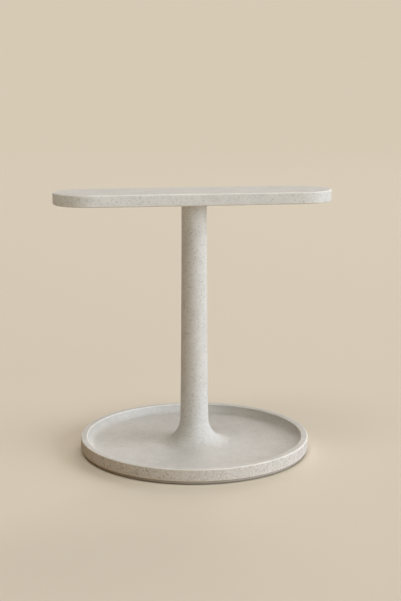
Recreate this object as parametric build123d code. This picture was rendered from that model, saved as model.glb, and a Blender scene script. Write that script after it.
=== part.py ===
# Jewelry stand: a round dish, a slim column and a flat crossbar, cast in speckled stone composite and
# pulled together by one threaded rod from under the dish.
# Millimetres. +Z is up, +X runs along the crossbar, the front faces -Y.
# The origin is the centre of the base, on the surface that the stand rests on.
import os
from math import cos, pi, radians, tan

from build123d import *

# Non-slip pad under the dish
pad_thickness = 2.4
pad_inset = 0.4  # from the flat of the dish's underside to the pad's edge
pad_edge_radius = 0.3
pad_foot_height = 0.7  # how far the middle of the pad stands proud below
pad_foot_inset = 2.5  # from the pad's edge to that foot

# Dish
tray_diameter = 150.0
tray_floor_thickness = 2.2
dish_depth = 5.5
rim_width = 4.4
rim_outer_edge_radius = 0.6
rim_inner_edge_radius = 0.6
tray_foot_edge_radius = 0.6
dish_cove_radius = 4.6
flare_radius = 16.0  # the dish floor sweeps up into the column with this radius

# Column
post_foot_diameter = 18.5
post_top_diameter = 16.3
post_length = 142.3  # from its seat on the flare to its top face
post_side_hollow = 0.2  # how far the side curves in from a straight taper, halfway up
spigot_diameter = 11.0
spigot_length = 5.0
spigot_chamfer = 0.5
spigot_clearance = 0.15  # round the spigot
spigot_end_clearance = 0.3  # under the spigot, so that the column bears on its shoulder

# Crossbar
bar_length = 180.0
bar_width = 48.0
bar_thickness = 7.7
bar_top_edge_radius = 0.5
bar_lower_edge_radius = 1.2

# Ring between column and crossbar
gasket_thickness = 0.5
gasket_inset = 0.35

# Threaded rod, nut and washers (M5)
rod_diameter = 5.0
rod_end_chamfer = 0.6
rod_hole_clearance = 0.3
thread_clearance = 0.02  # round the rod in the nut and in the insert
thread_engagement = 4.4  # rod inside the insert
rod_projection = 1.0  # rod showing below the nut
rod_end_gap = 0.5  # from the rod's lower end to the pad
nut_sides = 6
nut_across_flats = 8.0
nut_height = 4.7
nut_chamfer_angle = 30.0
washer_diameter = 15.0
washer_thickness = 1.2
washer_hole_clearance = 0.15
lock_washer_diameter = 9.2
lock_washer_thickness = 1.2
lock_washer_split = 0.8
lock_washer_split_angle = 20.0
counterbore_clearance = 1.0  # round the flat washer, for a socket spanner

# Brass insert in the crossbar
insert_diameter = 7.0
insert_length = 5.0
insert_groove_width = 1.2
insert_groove_depth = 0.5
insert_clearance = 0.02
insert_end_clearance = 0.1

# Dowels between column and crossbar
dowel_diameter = 2.0
dowel_depth_in_post = 4.5
dowel_depth_in_bar = 3.5
dowel_clearance = 0.02
dowel_end_clearance = 0.2
dowel_chamfer = 0.2

# Radii and heights that follow
tray_radius = tray_diameter / 2
tray_base_z = pad_thickness
floor_z = tray_base_z + tray_floor_thickness
rim_z = floor_z + dish_depth
wall_radius = tray_radius - rim_width
seat_z = floor_z + flare_radius
post_top_z = seat_z + post_length
bar_base_z = post_top_z + gasket_thickness
bar_top_z = bar_base_z + bar_thickness

post_foot_radius = post_foot_diameter / 2
post_top_radius = post_top_diameter / 2
spigot_radius = spigot_diameter / 2
socket_radius = spigot_radius + spigot_clearance
socket_floor_z = seat_z - spigot_length - spigot_end_clearance

rod_radius = rod_diameter / 2
rod_hole_radius = rod_radius + rod_hole_clearance
thread_radius = rod_radius + thread_clearance
washer_hole_radius = rod_radius + washer_hole_clearance
counterbore_radius = washer_diameter / 2 + counterbore_clearance

rod_base_z = pad_thickness + rod_end_gap
nut_base_z = rod_base_z + rod_projection
lock_washer_base_z = nut_base_z + nut_height
washer_base_z = lock_washer_base_z + lock_washer_thickness
counterbore_top_z = washer_base_z + washer_thickness
rod_top_z = bar_base_z + thread_engagement

insert_radius = insert_diameter / 2
insert_pocket_radius = insert_radius + insert_clearance
gasket_radius = post_top_radius - gasket_inset
dowel_circle_radius = (insert_pocket_radius + gasket_radius) / 2
dowel_hole_radius = dowel_diameter / 2 + dowel_clearance


def turned(lines):
    """Revolves a closed outline, drawn as (radius, height), about the stand's axis."""
    outline = Curve() + lines
    return revolve(make_face(Plane.XZ * outline), Axis.Z)


def ring(outer_radius, inner_radius, base_z, top_z):
    """A plain ring or sleeve on the stand's axis."""
    height = top_z - base_z
    lift = Pos(0, 0, base_z + height / 2)
    return lift * (Cylinder(outer_radius, height) - Cylinder(inner_radius, height))


def end_edges(shape):
    """The edges round the lowest and the highest face of an upright shape."""
    levels = shape.edges().group_by(Axis.Z)
    return levels[0] + levels[-1]


def dowels(radius, base_z, top_z):
    """The two round shapes, one each side of the rod, for the dowels or for their holes."""
    height = top_z - base_z
    shapes = []
    for side in (-1, 1):
        centre = Pos(side * dowel_circle_radius, 0, base_z + height / 2)
        shapes.append(centre * Cylinder(radius, height))
    return shapes


def make_tray():
    """Dish with a rounded rim, a coved wall and a flared boss that takes the column."""
    cove = min(dish_cove_radius, dish_depth - rim_inner_edge_radius)
    flare_foot_radius = post_foot_radius + flare_radius
    rim_out = rim_outer_edge_radius
    rim_in = rim_inner_edge_radius
    foot = tray_foot_edge_radius
    inside = Polyline(
        (tray_radius - foot, tray_base_z),
        (counterbore_radius, tray_base_z),
        (counterbore_radius, counterbore_top_z),
        (rod_hole_radius, counterbore_top_z),
        (rod_hole_radius, socket_floor_z),
        (socket_radius, socket_floor_z),
        (socket_radius, seat_z),
        (post_foot_radius, seat_z),
    )
    flare = RadiusArc((post_foot_radius, seat_z), (flare_foot_radius, floor_z), -flare_radius)
    floor = Line((flare_foot_radius, floor_z), (wall_radius - cove, floor_z))
    corner = RadiusArc((wall_radius - cove, floor_z), (wall_radius, floor_z + cove), -cove)
    wall = Line((wall_radius, floor_z + cove), (wall_radius, rim_z - rim_in))
    lip_in = RadiusArc((wall_radius, rim_z - rim_in), (wall_radius + rim_in, rim_z), rim_in)
    lip = Line((wall_radius + rim_in, rim_z), (tray_radius - rim_out, rim_z))
    lip_out = RadiusArc((tray_radius - rim_out, rim_z), (tray_radius, rim_z - rim_out), rim_out)
    side = Line((tray_radius, rim_z - rim_out), (tray_radius, tray_base_z + foot))
    edge = RadiusArc((tray_radius, tray_base_z + foot), (tray_radius - foot, tray_base_z), foot)
    return turned([inside, flare, floor, corner, wall, lip_in, lip, lip_out, side, edge])


def make_post():
    """Column with a spigot below, a gently hollowed side and two dowel holes in its top."""
    middle_z = (seat_z + post_top_z) / 2
    middle_radius = (post_foot_radius + post_top_radius) / 2 - post_side_hollow
    spigot_base_z = seat_z - spigot_length
    inside = Polyline(
        (post_top_radius, post_top_z),
        (rod_hole_radius, post_top_z),
        (rod_hole_radius, spigot_base_z),
        (spigot_radius - spigot_chamfer, spigot_base_z),
        (spigot_radius, spigot_base_z + spigot_chamfer),
        (spigot_radius, seat_z),
        (post_foot_radius, seat_z),
    )
    side = ThreePointArc(
        (post_foot_radius, seat_z),
        (middle_radius, middle_z),
        (post_top_radius, post_top_z),
    )
    hole_base_z = post_top_z - dowel_depth_in_post - dowel_end_clearance
    return turned([inside, side]) - dowels(dowel_hole_radius, hole_base_z, post_top_z)


def make_crossbar():
    """Flat bar with half-round ends, softened edges, and blind pockets in its underside."""
    outline = Pos(0, 0, bar_base_z) * SlotOverall(bar_length, bar_width)
    bar = extrude(outline, bar_thickness)
    bar = fillet(bar.edges().group_by(Axis.Z)[-1], bar_top_edge_radius)
    bar = fillet(bar.edges().group_by(Axis.Z)[0], bar_lower_edge_radius)
    pocket_top_z = bar_base_z + insert_length + insert_end_clearance
    pocket_height = pocket_top_z - bar_base_z
    pocket_lift = Pos(0, 0, bar_base_z + pocket_height / 2)
    bar -= pocket_lift * Cylinder(insert_pocket_radius, pocket_height)
    hole_top_z = bar_base_z + dowel_depth_in_bar + dowel_end_clearance
    return bar - dowels(dowel_hole_radius, bar_base_z, hole_top_z)


def make_bar_insert():
    """Brass insert with a retaining groove round its middle and a plain thread bore."""
    top_z = bar_base_z + insert_length
    middle_z = bar_base_z + insert_length / 2
    groove = ring(
        insert_radius + insert_groove_depth,
        insert_radius - insert_groove_depth,
        middle_z - insert_groove_width / 2,
        middle_z + insert_groove_width / 2,
    )
    return ring(insert_radius, thread_radius, bar_base_z, top_z) - groove


def make_tie_rod():
    """Threaded rod, plain at its thread's diameter, with chamfered ends."""
    length = rod_top_z - rod_base_z
    rod = Pos(0, 0, rod_base_z + length / 2) * Cylinder(rod_radius, length)
    return chamfer(end_edges(rod), rod_end_chamfer)


def make_clamp_nut():
    """Hexagon nut with both faces' corners turned off."""
    top_z = lock_washer_base_z
    flat_radius = nut_across_flats / 2
    corner_radius = flat_radius / cos(pi / nut_sides)
    drop = (corner_radius - flat_radius) * tan(radians(nut_chamfer_angle))
    hexagon = Pos(0, 0, nut_base_z) * RegularPolygon(flat_radius, nut_sides, major_radius=False)
    blank = extrude(hexagon, nut_height)
    envelope = Polyline(
        (0, nut_base_z),
        (flat_radius, nut_base_z),
        (corner_radius, nut_base_z + drop),
        (corner_radius, top_z - drop),
        (flat_radius, top_z),
        (0, top_z),
        close=True,
    )
    bore = Pos(0, 0, (nut_base_z + top_z) / 2) * Cylinder(thread_radius, nut_height)
    return (blank & turned([envelope])) - bore


def make_flat_washer():
    """Wide flat washer that spreads the nut's load over the counterbore's ceiling."""
    return ring(washer_diameter / 2, washer_hole_radius, washer_base_z, counterbore_top_z)


def make_lock_washer():
    """Split spring washer, clamped flat, with its slanting gap to the right."""
    washer = ring(
        lock_washer_diameter / 2,
        washer_hole_radius,
        lock_washer_base_z,
        washer_base_z,
    )
    gap_length = lock_washer_diameter / 2
    gap_height = lock_washer_thickness * 2  # tall enough to cut through where it slants
    middle_z = (lock_washer_base_z + washer_base_z) / 2
    tilt = Rot(X=lock_washer_split_angle)
    gap = Box(gap_length, lock_washer_split, gap_height)
    return washer - Pos(gap_length / 2, 0, middle_z) * tilt * gap


def make_bar_pins():
    """The two dowels, each chamfered at both ends, as one group."""
    base_z = post_top_z - dowel_depth_in_post
    top_z = bar_base_z + dowel_depth_in_bar
    pins = []
    for blank in dowels(dowel_diameter / 2, base_z, top_z):
        pins.append(chamfer(end_edges(blank), dowel_chamfer))
    return Compound(pins)


def make_bar_gasket():
    """Thin ring between column and crossbar, holed for the rod and the dowels."""
    gasket = ring(gasket_radius, rod_hole_radius, post_top_z, bar_base_z)
    return gasket - dowels(dowel_hole_radius, post_top_z, bar_base_z)


def make_base_pad():
    """Round non-slip pad on the flat of the dish's underside. It closes the counterbore.

    It stands on a slightly smaller foot, so that its edge stays clear of the table.
    """
    radius = tray_radius - tray_foot_edge_radius - pad_inset
    band_height = pad_thickness - pad_foot_height
    band = Pos(0, 0, pad_foot_height + band_height / 2) * Cylinder(radius, band_height)
    band = fillet(band.edges().group_by(Axis.Z)[0], pad_edge_radius)
    foot = Pos(0, 0, pad_foot_height / 2) * Cylinder(radius - pad_foot_inset, pad_foot_height)
    return band + foot


pieces = {
    "tray": make_tray(),
    "post": make_post(),
    "crossbar": make_crossbar(),
    "bar_insert": make_bar_insert(),
    "tie_rod": make_tie_rod(),
    "flat_washer": make_flat_washer(),
    "lock_washer": make_lock_washer(),
    "clamp_nut": make_clamp_nut(),
    "bar_pins": make_bar_pins(),
    "bar_gasket": make_bar_gasket(),
    "base_pad": make_base_pad(),
}

os.makedirs("parts", exist_ok=True)
for name, piece in pieces.items():
    export_step(piece, f"parts/{name}.step")
    print(name, round(piece.volume, 1), "mm3")
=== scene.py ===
"""The looks of a cast-stone jewelry stand: a round dish, a slim column and a flat crossbar.

Everything is in metres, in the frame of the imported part: +Z up, +X along the crossbar, front at -Y.
"""
import math
import random

import bmesh
import bpy
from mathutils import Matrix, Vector, noise
from mathutils.kdtree import KDTree


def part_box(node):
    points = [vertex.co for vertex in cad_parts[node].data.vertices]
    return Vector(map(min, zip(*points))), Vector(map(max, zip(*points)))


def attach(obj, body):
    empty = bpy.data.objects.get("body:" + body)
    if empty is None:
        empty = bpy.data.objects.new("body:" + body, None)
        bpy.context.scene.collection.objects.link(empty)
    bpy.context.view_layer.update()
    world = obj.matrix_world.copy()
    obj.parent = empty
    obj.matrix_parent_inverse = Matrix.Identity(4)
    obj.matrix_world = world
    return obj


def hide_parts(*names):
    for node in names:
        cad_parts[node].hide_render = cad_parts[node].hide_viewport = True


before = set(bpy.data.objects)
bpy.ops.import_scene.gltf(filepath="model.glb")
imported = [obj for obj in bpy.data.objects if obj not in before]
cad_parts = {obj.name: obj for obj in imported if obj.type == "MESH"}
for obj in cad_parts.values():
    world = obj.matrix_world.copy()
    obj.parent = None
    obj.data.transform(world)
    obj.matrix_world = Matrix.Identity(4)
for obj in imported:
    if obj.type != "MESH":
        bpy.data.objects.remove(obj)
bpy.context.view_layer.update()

MM = 0.001

# Sizes of the castings that their boxes don't tell
RIM_WIDTH = 4.4 * MM
DISH_DEPTH = 5.5 * MM
DISH_COVE_RADIUS = 4.6 * MM
RIM_EDGE_RADIUS = 0.6 * MM
TRAY_FOOT_EDGE_RADIUS = 0.6 * MM
FLARE_RADIUS = 16.0 * MM
SOCKET_RADIUS = 5.65 * MM
SOCKET_DEPTH = 5.3 * MM
ROD_HOLE_RADIUS = 2.8 * MM
COUNTERBORE_RADIUS = 8.5 * MM
COUNTERBORE_DEPTH = 8.6 * MM
POST_TOP_RADIUS = 8.15 * MM
POST_SIDE_HOLLOW = 0.2 * MM
SPIGOT_RADIUS = 5.5 * MM
SPIGOT_CHAMFER = 0.5 * MM
BAR_TOP_EDGE_RADIUS = 0.5 * MM
BAR_LOWER_EDGE_RADIUS = 1.2 * MM
INSERT_POCKET_RADIUS = 3.52 * MM
INSERT_POCKET_DEPTH = 5.1 * MM
DOWEL_RADIUS = 1.0 * MM
DOWEL_HOLE_RADIUS = 1.02 * MM
DOWEL_HOLE_DEPTH_IN_POST = 4.7 * MM
DOWEL_HOLE_DEPTH_IN_BAR = 3.7 * MM

# Sizes of the M5 fastening inside
THREAD_PITCH = 0.8 * MM
THREAD_DEPTH = 0.49 * MM
THREAD_PROFILE = [(0.0, 0.0), (0.25, 0.0), (0.56, 1.0), (0.69, 1.0)]  # shares of the pitch and the depth
THREAD_PLAY = 0.02 * MM  # between the rod and what it is screwed into
THREAD_END_CHAMFER = 0.6 * MM
NUT_CHAMFER_ANGLE = 30.0
INSERT_GROOVE_WIDTH = 1.2 * MM
INSERT_GROOVE_DEPTH = 0.5 * MM
KNURL_DEPTH = 0.2 * MM
KNURL_TEETH = 24

# How fine the meshes are
SURFACE_STEP = 0.9 * MM  # largest distance between rings of points
ARC_STEP_DEGREES = 11.0
TRAY_RING_POINTS = 480
POST_RING_POINTS = 72
BAR_RING_POINTS = 460
HOLE_RING_POINTS = 32
THREAD_RING_POINTS = 24
NUT_RING_POINTS = 72
FLOOR_RING_POINTS = 96
NUT_CHAMFER_RINGS = 4
KNURL_STEPS = 4  # rings, and points of a ring, to one tooth
SPARE_TURNS = 2  # turns of thread past each end, all pressed flat on it
SHARP_ANGLE = 40.0
SAME_POINT = 0.001 * MM  # two points nearer than this are one
NO_LENGTH = 0.0001 * MM  # and an edge shorter than this is none
SEAM = 0.02 * MM  # how near to a seat a point has to be to stay as it is
OVERRUN = 1.0 * MM  # how far a cutter reaches past the face that it opens

# The castings' surface
SANDING_WAVE = 14.0 * MM
SANDING_DEPTH = 0.06 * MM
SANDING_GRAIN = 2.2 * MM
GRAIN_DEPTH = 0.008 * MM
FLUSH_REACH = 6.0 * MM  # how far from a joint the unevenness takes to grow in
RUBBED_AND_HIGHLIT_BEND_LOW = 0.6  # curvature, per millimetre, from which an edge is rubbed pale and given a painted highlight
RUBBED_AND_HIGHLIT_BEND_HIGH = 1.5  # and at which it is palest
SANDED_COARSENESS = 0.6  # how strongly the sand shows on a sanded face
CAST_COARSENESS = 1.0  # and on a side left as it was cast
TRAY_SIDE_COARSENESS = 1.5
PINHOLE_RADIUS_MIN = 0.18 * MM
PINHOLE_RADIUS_MAX = 0.5 * MM
PINHOLE_DEPTH_SHARE = 0.9  # of its radius
PINHOLE_ROUNDING = 1.5  # 1 gives a bowl with a sharp rim, and more softens the rim
PINHOLE_CUTS = 4  # how often an edge near a pinhole is cut, to make the mesh finer there

# Sizes of the materials' patterns, and how deep their relief is
STONE_CLOUD_MM = 11.0
FINE_SAND_MM = 0.6
COARSE_SAND_MM = 0.9
GRIT_MM = 0.9
GRIT_RELIEF = 0.12 * MM
RUBBER_DRAG_MM = 2.5
RUBBER_RELIEF = 0.03 * MM
METAL_WEAR_MM = 1.6

# Camera, as the photograph was taken: level with no roll, a little left of the stand's front
CAMERA_TURN = 9.89  # degrees, from square on to the crossbar
CAMERA_PITCH = 10.66  # degrees below the horizon
CAMERA_DISTANCE = 739.7 * MM  # from the column's axis, along the line of sight's plan direction
CAMERA_SIDE = 4.1 * MM  # to the right of the column's axis
CAMERA_HEIGHT = 238.7 * MM
LENS_MM = 69.3
SENSOR_MM = 36.0

# Colours, as sRGB
STONE_PASTE_PALE = "#D8D6D2"
STONE_PASTE_DARK = "#CDCBC7"
STONE_SAND_PALE = "#E6E5E2"
STONE_SAND_DARK = "#B9B6B1"
STONE_SAND_DARKEST = "#AEABA5"
# The rubbed edges' colour, which is also a painted highlight along the edges
STONE_EDGE_AND_HIGHLIGHT = "#F2F0EC"
PAD_COLOUR = "#B4B0AA"
GASKET_COLOUR = "#6E6A66"
ZINC_COLOUR = "#C9CCD0"
BRASS_COLOUR = "#D8B36A"
FLOOR_COLOUR = "#E3DAC9"
BOUNCE_NEAR_COLOUR = "#B9986C"
BOUNCE_FAR_COLOUR = "#EAE4D6"
BACKDROP_COLOUR = "#D6CAB5"
KEY_COLOUR = "#ECF4FF"
FRONT_COLOUR = "#F6FFFA"
BACK_COLOUR = "#FFF9F7"
TOP_COLOUR = "#FFFFFB"
WORLD_COLOUR = "#FFD9A4"

# Light, where a strength of 1 renders a white surface that faces it as white
KEY_STRENGTH = 1.02
FRONT_STRENGTH = 0.16
BACK_STRENGTH = 0.4
TOP_STRENGTH = 0.31
WORLD_STRENGTH = 0.13

# The round floor. Between the two bounce distances from the stand, the light that it throws back turns
# from the near colour to the far one, and between the two fade distances it turns into the backdrop.
FLOOR_RADIUS = 6.0
BOUNCE_START = 0.14
BOUNCE_END = 0.3
FADE_START = 0.7
FADE_END = 4.0

# The sockets of a Mix node that mixes two colours
MIX_A, MIX_B, MIXED = 6, 7, 2


def linear(hex_colour):
    """An sRGB hex colour as linear red, green, blue and full alpha."""
    channels = [int(hex_colour[i : i + 2], 16) / 255 for i in (1, 3, 5)]
    return [c / 12.92 if c <= 0.04045 else ((c + 0.055) / 1.055) ** 2.4 for c in channels] + [1.0]


def add_node(tree, kind, inputs=None, **settings):
    """Adds a node. Its inputs are given by name or number, as values or as the sockets they come from."""
    node = tree.nodes.new(kind)
    for name, value in settings.items():
        setattr(node, name, value)
    for key, value in (inputs or {}).items():
        if isinstance(value, bpy.types.NodeSocket):
            tree.links.new(value, node.inputs[key])
        else:
            node.inputs[key].default_value = value
    return node


def empty_material(name):
    """A material with no nodes yet, and its tree."""
    material = bpy.data.materials.new(name)
    material.use_nodes = True
    material.node_tree.nodes.clear()
    return material, material.node_tree


def per_metre(size_mm):
    """The texture scale at which one cell or wave of a pattern is size_mm across."""
    return 1.0 / (size_mm * MM)


def cast_stone():
    """Cast stone: white cement and fine quartz sand, poured in a mould and wet-sanded.

    It gives the eye a matt, dusty, pale and nearly neutral grey with a quiet pepper of slightly darker
    and lighter sand and a fine drag to its surface. Sides that were left as cast are coarser than the
    sanded faces, and edges are paler, where the sanding took most off and with a painted highlight
    along them. The sand is drawn 0.6 to 0.9 mm across, about twice its real size, so that it shows.
    """
    material, tree = empty_material("sanded_cast_stone")
    place = add_node(tree, "ShaderNodeTexCoord").outputs["Object"]
    coarseness = add_node(tree, "ShaderNodeAttribute", attribute_name="coarse").outputs["Fac"]

    # The paste, in soft patches
    clouds = add_node(
        tree,
        "ShaderNodeTexNoise",
        {"Vector": place, "Scale": per_metre(STONE_CLOUD_MM), "Detail": 3.0, "Roughness": 0.7},
    )
    cloudy = add_node(
        tree, "ShaderNodeMapRange", {0: clouds.outputs[0], "From Min": 0.35, "From Max": 0.65}
    )
    colour = add_node(
        tree,
        "ShaderNodeMix",
        {0: cloudy.outputs[0], MIX_A: linear(STONE_PASTE_DARK), MIX_B: linear(STONE_PASTE_PALE)},
        data_type="RGBA",
    )

    # The sand: cells of one grain each, of which the share called rare stays paste. The others take the
    # sand's colour in different amounts, and most is the largest. The shift gives each sand its own cells.
    for size_mm, sand, rare, most in (
        (FINE_SAND_MM, STONE_SAND_DARK, 0.4, 0.8),
        (FINE_SAND_MM, STONE_SAND_PALE, 0.4, 0.8),
        (COARSE_SAND_MM, STONE_SAND_DARKEST, 0.8, 0.5),
    ):
        shifted = add_node(
            tree, "ShaderNodeVectorMath", {0: place, 1: (rare, most, size_mm)}, operation="ADD"
        )
        grains = add_node(
            tree, "ShaderNodeTexVoronoi", {"Vector": shifted.outputs[0], "Scale": per_metre(size_mm)}
        )
        pick = add_node(tree, "ShaderNodeSeparateColor", {0: grains.outputs["Color"]})
        chosen = add_node(
            tree,
            "ShaderNodeMapRange",
            {0: pick.outputs[0], "From Min": rare, "From Max": 1.0, "To Max": most},
        )
        share = add_node(
            tree, "ShaderNodeMath", {0: chosen.outputs[0], 1: coarseness}, operation="MULTIPLY"
        )
        colour = add_node(
            tree,
            "ShaderNodeMix",
            {0: share.outputs[0], MIX_A: colour.outputs[MIXED], MIX_B: linear(sand)},
            data_type="RGBA",
        )

    # The edges, rubbed pale here more and there less, which also paints a highlight along them
    uneven = add_node(
        tree,
        "ShaderNodeMapRange",
        {0: clouds.outputs[0], "From Min": 0.3, "From Max": 0.6, "To Min": 0.55, "To Max": 1.0},
    )
    edges = add_node(tree, "ShaderNodeAttribute", attribute_name="rubbed_and_highlit").outputs["Fac"]
    rubbed_and_highlit = add_node(tree, "ShaderNodeMath", {0: edges, 1: uneven.outputs[0]}, operation="MULTIPLY")
    colour = add_node(
        tree,
        "ShaderNodeMix",
        {0: rubbed_and_highlit.outputs[0], MIX_A: colour.outputs[MIXED], MIX_B: linear(STONE_EDGE_AND_HIGHLIGHT)},
        data_type="RGBA",
    )

    # The drag of the surface, in its gloss and its relief
    grit = add_node(
        tree,
        "ShaderNodeTexNoise",
        {"Vector": place, "Scale": per_metre(GRIT_MM), "Detail": 3.0, "Roughness": 0.65},
    )
    roughness = add_node(
        tree,
        "ShaderNodeMapRange",
        {0: grit.outputs[0], "From Min": 0.3, "From Max": 0.7, "To Min": 0.74, "To Max": 0.9},
    )
    relief = add_node(
        tree,
        "ShaderNodeBump",
        {"Height": grit.outputs[0], "Distance": GRIT_RELIEF, "Strength": coarseness},
    )
    shader = add_node(
        tree,
        "ShaderNodeBsdfPrincipled",
        {
            "Base Color": colour.outputs[MIXED],
            "Roughness": roughness.outputs[0],
            "IOR": 1.5,
            "Specular IOR Level": 0.2,
            "Normal": relief.outputs[0],
        },
    )
    add_node(tree, "ShaderNodeOutputMaterial", {"Surface": shader.outputs[0]})
    return material


def moulded_rubber(name, colour_hex):
    """Silicone rubber, moulded: an even, slightly warm matt skin with a very fine drag to it.

    The real drag is finer than a pixel, and is drawn 2.5 mm across so that it shows.
    """
    material, tree = empty_material(name)
    place = add_node(tree, "ShaderNodeTexCoord").outputs["Object"]
    mottle = add_node(
        tree,
        "ShaderNodeTexNoise",
        {"Vector": place, "Scale": per_metre(RUBBER_DRAG_MM), "Detail": 3.0, "Roughness": 0.6},
    )
    value = add_node(
        tree,
        "ShaderNodeMapRange",
        {0: mottle.outputs[0], "From Min": 0.3, "From Max": 0.7, "To Min": 0.94, "To Max": 1.06},
    )
    shade = add_node(
        tree, "ShaderNodeHueSaturation", {"Value": value.outputs[0], "Color": linear(colour_hex)}
    )
    skin = add_node(
        tree, "ShaderNodeBump", {"Height": mottle.outputs[0], "Distance": RUBBER_RELIEF, "Strength": 0.5}
    )
    shader = add_node(
        tree,
        "ShaderNodeBsdfPrincipled",
        {"Base Color": shade.outputs[0], "Roughness": 0.68, "IOR": 1.41, "Normal": skin.outputs[0]},
    )
    add_node(tree, "ShaderNodeOutputMaterial", {"Surface": shader.outputs[0]})
    return material


def plated_or_turned_metal(name, colour_hex, roughness_low, roughness_high):
    """Zinc-plated steel or turned brass: a clean satin metal with faint uneven gloss from handling.

    The marks of handling are drawn 1.6 mm across, coarser than real scuffs, so that they show.
    """
    material, tree = empty_material(name)
    place = add_node(tree, "ShaderNodeTexCoord").outputs["Object"]
    wear = add_node(
        tree,
        "ShaderNodeTexNoise",
        {"Vector": place, "Scale": per_metre(METAL_WEAR_MM), "Detail": 4.0, "Roughness": 0.6},
    )
    gloss = add_node(
        tree,
        "ShaderNodeMapRange",
        {
            0: wear.outputs[0],
            "From Min": 0.3,
            "From Max": 0.7,
            "To Min": roughness_low,
            "To Max": roughness_high,
        },
    )
    shader = add_node(
        tree,
        "ShaderNodeBsdfPrincipled",
        {"Base Color": linear(colour_hex), "Metallic": 1.0, "Roughness": gloss.outputs[0]},
    )
    add_node(tree, "ShaderNodeOutputMaterial", {"Surface": shader.outputs[0]})
    return material


def seen_directly(tree):
    """1 for what the camera sees, straight, reflected or through glass, and 0 for what only lights."""
    path = add_node(tree, "ShaderNodeLightPath").outputs
    in_gloss_or_glass = add_node(
        tree,
        "ShaderNodeMath",
        {0: path["Is Glossy Ray"], 1: path["Is Transmission Ray"]},
        operation="MAXIMUM",
    )
    seen = add_node(
        tree,
        "ShaderNodeMath",
        {0: path["Is Camera Ray"], 1: in_gloss_or_glass.outputs[0]},
        operation="MAXIMUM",
    )
    return seen.outputs[0]


def studio_floor():
    """Painted studio board, matt and pale to look at.

    Close to the stand it throws a warm light back up, and further out a paler one. Far off it fades into
    the plain backdrop, so that no horizon shows.
    """
    material, tree = empty_material("pale_studio_board")
    place = add_node(tree, "ShaderNodeTexCoord").outputs["Object"]
    distance = add_node(tree, "ShaderNodeVectorMath", {0: place}, operation="LENGTH")
    further = add_node(
        tree,
        "ShaderNodeMapRange",
        {0: distance.outputs["Value"], "From Min": BOUNCE_START, "From Max": BOUNCE_END},
        interpolation_type="SMOOTHSTEP",
    )
    bounce = add_node(
        tree,
        "ShaderNodeMix",
        {0: further.outputs[0], MIX_A: linear(BOUNCE_NEAR_COLOUR), MIX_B: linear(BOUNCE_FAR_COLOUR)},
        data_type="RGBA",
    )
    colour = add_node(
        tree,
        "ShaderNodeMix",
        {0: seen_directly(tree), MIX_A: bounce.outputs[MIXED], MIX_B: linear(FLOOR_COLOUR)},
        data_type="RGBA",
    )
    board = add_node(
        tree,
        "ShaderNodeBsdfPrincipled",
        {"Base Color": colour.outputs[MIXED], "Roughness": 0.9, "IOR": 1.45},
    )
    faded = add_node(
        tree,
        "ShaderNodeMapRange",
        {0: distance.outputs["Value"], "From Min": FADE_START, "From Max": FADE_END},
        interpolation_type="SMOOTHSTEP",
    )
    fade = add_node(
        tree, "ShaderNodeMath", {0: faded.outputs[0], 1: seen_directly(tree)}, operation="MULTIPLY"
    )
    backdrop = add_node(tree, "ShaderNodeEmission", {"Color": linear(BACKDROP_COLOUR)})
    shader = add_node(
        tree, "ShaderNodeMixShader", {0: fade.outputs[0], 1: board.outputs[0], 2: backdrop.outputs[0]}
    )
    add_node(tree, "ShaderNodeOutputMaterial", {"Surface": shader.outputs[0]})
    return material


def arc(centre, radius, start, end):
    """Points (across, up) along an arc, both ends included, from one angle in degrees to another."""
    steps = max(2, math.ceil(abs(end - start) / ARC_STEP_DEGREES))
    points = []
    for step in range(steps + 1):
        angle = math.radians(start + (end - start) * step / steps)
        points.append((centre[0] + radius * math.cos(angle), centre[1] + radius * math.sin(angle)))
    return points


def stepped(points):
    """The same line with points added, so that none is further than SURFACE_STEP from the next."""
    line = [points[0]]
    for before, after in zip(points, points[1:]):
        parts = max(1, math.ceil(math.dist(before, after) / SURFACE_STEP))
        for part in range(1, parts + 1):
            share = part / parts
            line.append(tuple(a + (b - a) * share for a, b in zip(before, after)))
    return line


def merged(*lines):
    """One line from several, without the points that two of them share."""
    line = []
    for point in (point for part in lines for point in part):
        if not line or math.dist(line[-1], point) > NO_LENGTH:
            line.append(point)
    return line


def round_ring(radius, height, count):
    """A level circle of points about the column's axis."""
    turns = [2 * math.pi * i / count for i in range(count)]
    return [(radius * math.cos(turn), radius * math.sin(turn), height) for turn in turns]


def bar_ring(half_length, half_width, inset, height):
    """A level ring of points, inset evenly from the crossbar's outline with its half-round ends."""
    reach = half_length - half_width
    radius = half_width - inset
    arc_share = math.pi * half_width / (2 * math.pi * half_width + 4 * reach)
    on_arc = round(BAR_RING_POINTS * arc_share)
    on_side = BAR_RING_POINTS // 2 - on_arc
    ring = []
    for side in (1, -1):
        for i in range(on_arc):
            turn = math.pi * (i / on_arc - 0.5)
            ring.append((side * (reach + radius * math.cos(turn)), side * radius * math.sin(turn), height))
        for i in range(on_side):
            ring.append((side * (reach - 2 * reach * i / on_side), side * radius, height))
    return ring


def new_object(name, data):
    """An object in the scene for a mesh, a lamp or a camera."""
    thing = bpy.data.objects.new(name, data)
    bpy.context.scene.collection.objects.link(thing)
    return thing


def lofted(name, rings, joined_round=False, climb=0):
    """A piece skinned with four-sided faces between rings that have as many points each.

    joined_round joins the last ring to the first, and without it open ends are closed. climb is how many
    rings further up a ring's last point meets its neighbour, as in a thread.
    """
    count = len(rings[0])
    points = [point for ring in rings for point in ring]
    faces = []
    for level in range(len(rings) if joined_round else len(rings) - 1):
        here = level * count
        there = (level + 1) % len(rings) * count
        for i in range(count):
            after = i + 1 if i + 1 < count else climb * count
            if there + after < len(points):
                faces.append((here + i, here + after, there + after, there + i))
    mesh = bpy.data.meshes.new(name)
    mesh.from_pydata(points, [], faces)
    close_mesh(mesh)
    return new_object(name, mesh)


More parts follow.
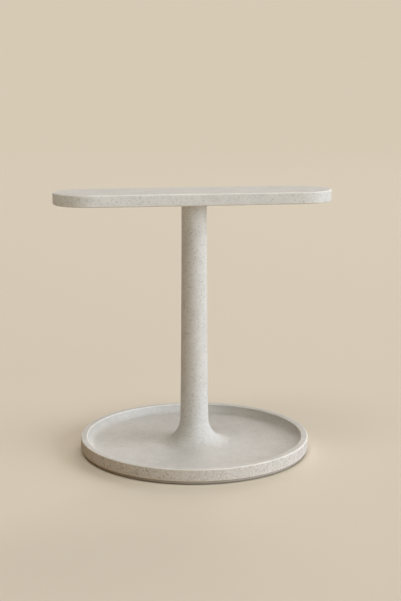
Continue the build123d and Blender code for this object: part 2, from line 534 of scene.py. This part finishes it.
def close_mesh(mesh):
    """Merges the points of a mesh that coincide, closes its open ends and turns its faces outwards."""
    shape = bmesh.new()
    shape.from_mesh(mesh)
    bmesh.ops.remove_doubles(shape, verts=shape.verts, dist=SAME_POINT)
    bmesh.ops.dissolve_degenerate(shape, edges=shape.edges, dist=NO_LENGTH)
    bmesh.ops.holes_fill(shape, edges=shape.edges, sides=0)
    bmesh.ops.recalc_face_normals(shape, faces=shape.faces)
    shape.to_mesh(mesh)
    shape.free()


def round_cutter(x, radius, low_z, high_z):
    """An upright round bar to cut a hole with, x from the column's axis."""
    ring = round_ring(radius, 0.0, HOLE_RING_POINTS)
    return lofted("hole", [[(x + across, y, z) for across, y, _ in ring] for z in (low_z, high_z)])


def hollow_out(piece, cutters):
    """Cuts holes out of a piece, and removes the cutters."""
    for cutter in cutters:
        cut = piece.modifiers.new("hole", "BOOLEAN")
        cut.object = cutter
        cut.operation = "DIFFERENCE"
        cut.solver = "EXACT"
    graph = bpy.context.evaluated_depsgraph_get()
    mesh = bpy.data.meshes.new_from_object(piece.evaluated_get(graph))
    piece.modifiers.clear()
    close_mesh(mesh)
    piece.data = mesh
    for cutter in cutters:
        bpy.data.objects.remove(cutter)


def weather(piece, shows, side_coarseness, pit_count, seed):
    """Gives a casting its rubbed edges, pale also as a painted highlight, its hand-sanded unevenness and
    its few pinholes.

    All of it only ever goes inwards. shows says how much of it a point gets: none where the casting is
    hidden, and less and less towards a joint, so that the two sides of the joint stay flush.
    side_coarseness says how coarse an upright face is at a point.
    """
    shape = bmesh.new()
    shape.from_mesh(piece.data)
    mark_rubbed_and_highlit_edges(shape, shows)
    mark_coarse_sides(shape, side_coarseness)
    sink_pinholes(shape, shows, pit_count, seed)
    shape.normal_update()
    moves = []
    for point in shape.verts:
        share = shows(point.co)
        if share > 0:
            slow = noise.noise(point.co / SANDING_WAVE)
            grain = noise.noise(point.co / SANDING_GRAIN + Vector((seed, 0, 0)))
            depth = SANDING_DEPTH * (0.5 + 0.5 * slow) + GRAIN_DEPTH * (0.5 + 0.5 * grain)
            moves.append((point, point.normal * depth * share))
    for point, move in moves:
        point.co -= move
    shape.to_mesh(piece.data)
    shape.free()


def mark_rubbed_and_highlit_edges(shape, shows):
    """Stores on each point how pale its edge is, rubbed and with a painted highlight: 1 on a tight outward
    bend, down to 0 on open faces.
    """
    rubbed_and_highlit = shape.verts.layers.float.new("rubbed_and_highlit")
    shape.normal_update()
    for point in shape.verts:
        if shows(point.co) > 0:
            bend = 0.0
            for edge in point.link_edges:
                along = edge.other_vert(point).co - point.co
                bend = max(bend, -2 * point.normal.dot(along) / along.length_squared)
            share = (bend * MM - RUBBED_AND_HIGHLIT_BEND_LOW) / (RUBBED_AND_HIGHLIT_BEND_HIGH - RUBBED_AND_HIGHLIT_BEND_LOW)
            point[rubbed_and_highlit] = min(max(share, 0.0), 1.0)


def mark_coarse_sides(shape, side_coarseness):
    """Stores on each point how strongly the sand shows there: more, the more upright a side stands."""
    coarse = shape.verts.layers.float.new("coarse")
    for point in shape.verts:
        more = side_coarseness(point.co) - SANDED_COARSENESS
        point[coarse] = SANDED_COARSENESS + more * (1 - abs(point.normal.z))


def sink_pinholes(shape, shows, pit_count, seed):
    """Presses small round pinholes, left by air in the mix, into faces that show, on a finer mesh there."""
    chance = random.Random(seed)
    open_faces = [face for face in shape.faces if shows(face.calc_center_median()) == 1]
    weights = [face.calc_area() for face in open_faces]
    pits = []
    for face in chance.choices(open_faces, weights, k=pit_count):
        radius = chance.uniform(PINHOLE_RADIUS_MIN, PINHOLE_RADIUS_MAX)
        pits.append((face.calc_center_median().copy(), face.normal.copy(), radius))
    finder = KDTree(len(open_faces))
    for number, face in enumerate(open_faces):
        finder.insert(face.calc_center_median(), number)
    finder.balance()
    near = set()
    for centre, _, radius in pits:
        for _, number, _ in finder.find_range(centre, radius + SURFACE_STEP):
            near.update(open_faces[number].edges)
    bmesh.ops.subdivide_edges(shape, edges=list(near), cuts=PINHOLE_CUTS, use_grid_fill=True)
    points = list(shape.verts)
    finder = KDTree(len(points))
    for number, point in enumerate(points):
        finder.insert(point.co, number)
    finder.balance()
    for centre, normal, radius in pits:
        for place, number, distance in finder.find_range(centre, radius):
            share = (1 - (distance / radius) ** 2) ** PINHOLE_ROUNDING
            points[number].co = place - normal * PINHOLE_DEPTH_SHARE * radius * share


def make_tray(stone):
    """The dish: rim, coved wall, floor, and the flared boss with its socket and counterbore."""
    low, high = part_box("tray")
    foot_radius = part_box("post")[1].x
    outer = high.x
    floor_z = high.z - FLARE_RADIUS
    rim_z = floor_z + DISH_DEPTH
    wall = outer - RIM_WIDTH
    cove, rim_edge, foot_edge = DISH_COVE_RADIUS, RIM_EDGE_RADIUS, TRAY_FOOT_EDGE_RADIUS
    flare = arc((foot_radius + FLARE_RADIUS, high.z), FLARE_RADIUS, 180, 270)
    coving = arc((wall - cove, floor_z + cove), cove, -90, 0)
    inner_lip = arc((wall + rim_edge, rim_z - rim_edge), rim_edge, 180, 90)
    outer_lip = arc((outer - rim_edge, rim_z - rim_edge), rim_edge, 90, 0)
    foot = arc((outer - foot_edge, low.z + foot_edge), foot_edge, 0, -90)
    skin = stepped(merged(flare, coving, inner_lip, outer_lip, foot))
    hidden = [
        (COUNTERBORE_RADIUS, low.z),
        (COUNTERBORE_RADIUS, low.z + COUNTERBORE_DEPTH),
        (ROD_HOLE_RADIUS, low.z + COUNTERBORE_DEPTH),
        (ROD_HOLE_RADIUS, high.z - SOCKET_DEPTH),
        (SOCKET_RADIUS, high.z - SOCKET_DEPTH),
        (SOCKET_RADIUS, high.z),
    ]
    rings = [round_ring(radius, z, TRAY_RING_POINTS) for radius, z in merged(skin, hidden)]
    tray = lofted("stone_tray", rings, joined_round=True)

    def shows(point):
        if point.xy.length < foot_radius + SEAM or point.z < low.z + SEAM:
            return 0.0
        return min(1.0, math.hypot(point.xy.length - foot_radius, high.z - point.z) / FLUSH_REACH)

    def side_coarseness(point):
        if point.xy.length > outer - rim_edge:
            return TRAY_SIDE_COARSENESS
        return CAST_COARSENESS if point.xy.length < foot_radius + FLARE_RADIUS else SANDED_COARSENESS

    weather(tray, shows, side_coarseness, pit_count=70, seed=3)
    dress_piece(tray, stone, "tray")


def make_post(stone):
    """The tapered column, with its spigot, its bore and the two dowel holes in its top."""
    low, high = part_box("post")
    seat_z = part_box("tray")[1].z
    foot_radius = high.x
    levels = math.ceil((high.z - seat_z) / SURFACE_STEP)
    side = []
    for level in range(levels + 1):
        share = level / levels
        taper = foot_radius + (POST_TOP_RADIUS - foot_radius) * share
        hollow = 4 * POST_SIDE_HOLLOW * share * (1 - share)
        side.append((taper - hollow, seat_z + (high.z - seat_z) * share))
    hidden = [
        (ROD_HOLE_RADIUS, high.z),
        (ROD_HOLE_RADIUS, low.z),
        (SPIGOT_RADIUS - SPIGOT_CHAMFER, low.z),
        (SPIGOT_RADIUS, low.z + SPIGOT_CHAMFER),
        (SPIGOT_RADIUS, seat_z),
    ]
    rings = [round_ring(radius, z, POST_RING_POINTS) for radius, z in merged(side, hidden)]
    post = lofted("stone_post", rings, joined_round=True)
    hollow_out(post, dowel_cutters(high.z - DOWEL_HOLE_DEPTH_IN_POST, high.z + OVERRUN))

    def shows(point):
        if point.xy.length < POST_TOP_RADIUS - 2 * POST_SIDE_HOLLOW:
            return 0.0
        return min(1.0, max(0.0, (point.z - seat_z) / FLUSH_REACH), max(0.0, (high.z - point.z) / SEAM))

    weather(post, shows, lambda point: CAST_COARSENESS, pit_count=16, seed=5)
    dress_piece(post, stone, "post")


def make_crossbar(stone):
    """The flat bar with half-round ends and softened edges, pocketed below for insert and dowels."""
    low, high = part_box("crossbar")
    lower, upper = BAR_LOWER_EDGE_RADIUS, BAR_TOP_EDGE_RADIUS
    lower_edge = arc((lower, low.z + lower), lower, 270, 180)
    upper_edge = arc((upper, high.z - upper), upper, 180, 90)
    skin = stepped(merged([(high.y, low.z)], lower_edge, upper_edge, [(high.y, high.z)]))
    bar = lofted("stone_crossbar", [bar_ring(high.x, high.y, inset, z) for inset, z in skin])
    pocket = round_cutter(0.0, INSERT_POCKET_RADIUS, low.z - OVERRUN, low.z + INSERT_POCKET_DEPTH)
    hollow_out(bar, [pocket, *dowel_cutters(low.z - OVERRUN, low.z + DOWEL_HOLE_DEPTH_IN_BAR)])

    def shows(point):
        return float(point.xy.length > POST_TOP_RADIUS or point.z > high.z - SEAM)

    weather(bar, shows, lambda point: CAST_COARSENESS, pit_count=50, seed=9)
    dress_piece(bar, stone, "crossbar")


def dowel_cutters(low_z, high_z):
    """The cutters of the two dowel holes, one each side of the column's axis."""
    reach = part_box("bar_pins")[1].x - DOWEL_RADIUS
    return [round_cutter(side * reach, DOWEL_HOLE_RADIUS, low_z, high_z) for side in (-1, 1)]


def threaded_bar(name, radius, low_z, high_z):
    """A bar with a right-hand thread and chamfered ends.

    Its rings climb by one pitch a turn, from the same height for every bar, so that all threads mesh.
    """
    first = math.floor(low_z / THREAD_PITCH) - SPARE_TURNS
    last = math.ceil(high_z / THREAD_PITCH) + SPARE_TURNS
    rings = []
    for turn in range(first, last):
        for share, height in THREAD_PROFILE:
            ring = []
            for i in range(THREAD_RING_POINTS):
                angle = 2 * math.pi * i / THREAD_RING_POINTS
                z = THREAD_PITCH * (turn + share + i / THREAD_RING_POINTS)
                z = min(max(z, low_z), high_z)
                chamfered = radius - THREAD_END_CHAMFER + min(z - low_z, high_z - z)
                across = min(radius - THREAD_DEPTH * (1 - height), chamfered)
                ring.append((across * math.cos(angle), across * math.sin(angle), z))
            rings.append(ring)
    return lofted(name, rings, climb=len(THREAD_PROFILE))


def tap_through(piece, low_z, high_z):
    """Cuts the rod's thread, with its play, through a nut or an insert.

    The tap reaches a pitch beyond both faces, so that its own chamfered ends cut nothing.
    """
    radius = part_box("tie_rod")[1].x + THREAD_PLAY
    hollow_out(piece, [threaded_bar("tap", radius, low_z - THREAD_PITCH, high_z + THREAD_PITCH)])


def make_rod(zinc):
    """The M5 rod, threaded over its whole length."""
    low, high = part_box("tie_rod")
    dress_piece(threaded_bar("threaded_rod", high.x, low.z, high.z), zinc, "tie_rod")


def make_nut(zinc):
    """The hexagon nut, its corners turned off at both faces, and tapped."""
    low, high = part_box("clamp_nut")
    corner, flat = high.x, high.y
    side_turn = math.pi / 3
    slope = math.tan(math.radians(NUT_CHAMFER_ANGLE))
    drops = [(corner - flat) * slope * step / NUT_CHAMFER_RINGS for step in range(NUT_CHAMFER_RINGS + 1)]
    rings = []
    for z in [low.z + drop for drop in drops] + [high.z - drop for drop in reversed(drops)]:
        ring = []
        for i in range(NUT_RING_POINTS):
            angle = 2 * math.pi * i / NUT_RING_POINTS
            from_flat = angle % side_turn - side_turn / 2
            across = min(flat / math.cos(from_flat), flat + min(z - low.z, high.z - z) / slope)
            ring.append((across * math.cos(angle), across * math.sin(angle), z))
        rings.append(ring)
    nut = lofted("hexagon_nut", rings)
    tap_through(nut, low.z, high.z)
    dress_piece(nut, zinc, "clamp_nut")


def make_insert(brass):
    """The brass insert, grooved round its middle and tapped.

    Its knurl is two sets of slanting grooves that cross, one rising to the right and one falling.
    """
    low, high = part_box("bar_insert")
    radius = high.x
    tooth = 2 * math.pi * radius / KNURL_TEETH
    count = KNURL_TEETH * KNURL_STEPS
    levels = round((high.z - low.z) / tooth * KNURL_STEPS)
    rings = []
    for level in range(levels + 1):
        z = low.z + (high.z - low.z) * level / levels
        in_groove = abs(z - (low.z + high.z) / 2) < INSERT_GROOVE_WIDTH / 2
        ring = []
        for i in range(count):
            falling = abs((i + level) / KNURL_STEPS % 1 - 0.5) * 2
            rising = abs((i - level) / KNURL_STEPS % 1 - 0.5) * 2
            sunk = INSERT_GROOVE_DEPTH if in_groove else KNURL_DEPTH * (1 - min(rising, falling))
            angle = 2 * math.pi * i / count
            ring.append(((radius - sunk) * math.cos(angle), (radius - sunk) * math.sin(angle), z))
        rings.append(ring)
    insert = lofted("knurled_insert", rings)
    tap_through(insert, low.z, high.z)
    dress_piece(insert, brass, "bar_insert")


def dress_piece(piece, material, node):
    """Shades a piece smooth between its sharp edges, and puts it in place of the node it stands for."""
    piece.data.shade_smooth()
    piece.data.set_sharp_from_angle(angle=math.radians(SHARP_ANGLE))
    piece.data.materials.clear()
    piece.data.materials.append(material)
    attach(piece, "root")
    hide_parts(node)


def dress_cad_node(node, material):
    """Gives its material to a node that keeps its own shape."""
    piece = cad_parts[node]
    piece.data.materials.clear()
    piece.data.materials.append(material)


def direction_from_stand(turn, rise):
    """The direction from the stand at turn degrees right of the camera and rise degrees above level."""
    plan = math.radians(turn - CAMERA_TURN - 90)
    up = math.radians(rise)
    return Vector((math.cos(plan) * math.cos(up), math.sin(plan) * math.cos(up), math.sin(up)))


def add_sun(name, turn, rise, spread, strength, colour_hex):
    """A far, soft lamp: spread is how many degrees of the sky it fills."""
    lamp = bpy.data.lights.new(name, "SUN")
    lamp.energy = strength * math.pi  # a lamp of energy pi renders a white surface as white
    lamp.angle = math.radians(spread)
    lamp.color = linear(colour_hex)[:3]
    aim = direction_from_stand(turn, rise).to_track_quat("Z", "Y")
    new_object(name, lamp).rotation_euler = aim.to_euler()


def make_floor():
    """A wide round floor, level with what the stand rests on."""
    ring = round_ring(FLOOR_RADIUS, 0.0, FLOOR_RING_POINTS)
    mesh = bpy.data.meshes.new("floor")
    mesh.from_pydata(ring, [], [tuple(range(len(ring)))])
    mesh.materials.append(studio_floor())
    new_object("floor", mesh)


def make_world():
    """Warm, even light from all round, and a plain pale backdrop for whatever looks past the floor."""
    world = bpy.data.worlds.new("studio")
    world.use_nodes = True
    tree = world.node_tree
    tree.nodes.clear()
    light = add_node(
        tree, "ShaderNodeBackground", {"Color": linear(WORLD_COLOUR), "Strength": WORLD_STRENGTH}
    )
    backdrop = add_node(tree, "ShaderNodeBackground", {"Color": linear(BACKDROP_COLOUR), "Strength": 1.0})
    both = add_node(
        tree, "ShaderNodeMixShader", {0: seen_directly(tree), 1: light.outputs[0], 2: backdrop.outputs[0]}
    )
    add_node(tree, "ShaderNodeOutputWorld", {"Surface": both.outputs[0]})
    bpy.context.scene.world = world


def make_camera():
    """The camera where the photograph was taken from."""
    turn = math.radians(CAMERA_TURN)
    ahead = Vector((math.sin(turn), math.cos(turn), 0))
    right = Vector((math.cos(turn), -math.sin(turn), 0))
    camera = new_object("camera", bpy.data.cameras.new("camera"))
    camera.location = right * CAMERA_SIDE - ahead * CAMERA_DISTANCE + Vector((0, 0, CAMERA_HEIGHT))
    camera.rotation_euler = (math.radians(90 - CAMERA_PITCH), 0, -turn)
    camera.data.lens = LENS_MM
    camera.data.sensor_width = SENSOR_MM
    bpy.context.scene.camera = camera


make_camera()
make_floor()
make_world()
add_sun("key", turn=74, rise=8, spread=50, strength=KEY_STRENGTH, colour_hex=KEY_COLOUR)
add_sun("front", turn=30, rise=20, spread=40, strength=FRONT_STRENGTH, colour_hex=FRONT_COLOUR)
add_sun("back", turn=165, rise=28, spread=40, strength=BACK_STRENGTH, colour_hex=BACK_COLOUR)
add_sun("top", turn=-20, rise=72, spread=40, strength=TOP_STRENGTH, colour_hex=TOP_COLOUR)
bpy.context.scene.view_settings.view_transform = "Standard"

stone = cast_stone()
make_tray(stone)
make_post(stone)
make_crossbar(stone)

zinc = plated_or_turned_metal("zinc_plated_steel", ZINC_COLOUR, 0.28, 0.42)
make_rod(zinc)
make_nut(zinc)
make_insert(plated_or_turned_metal("turned_brass", BRASS_COLOUR, 0.24, 0.36))
for node in ("flat_washer", "lock_washer", "bar_pins"):
    dress_cad_node(node, zinc)
dress_cad_node("bar_gasket", moulded_rubber("moulded_gasket_rubber", GASKET_COLOUR))
dress_cad_node("base_pad", moulded_rubber("moulded_silicone_pad", PAD_COLOUR))
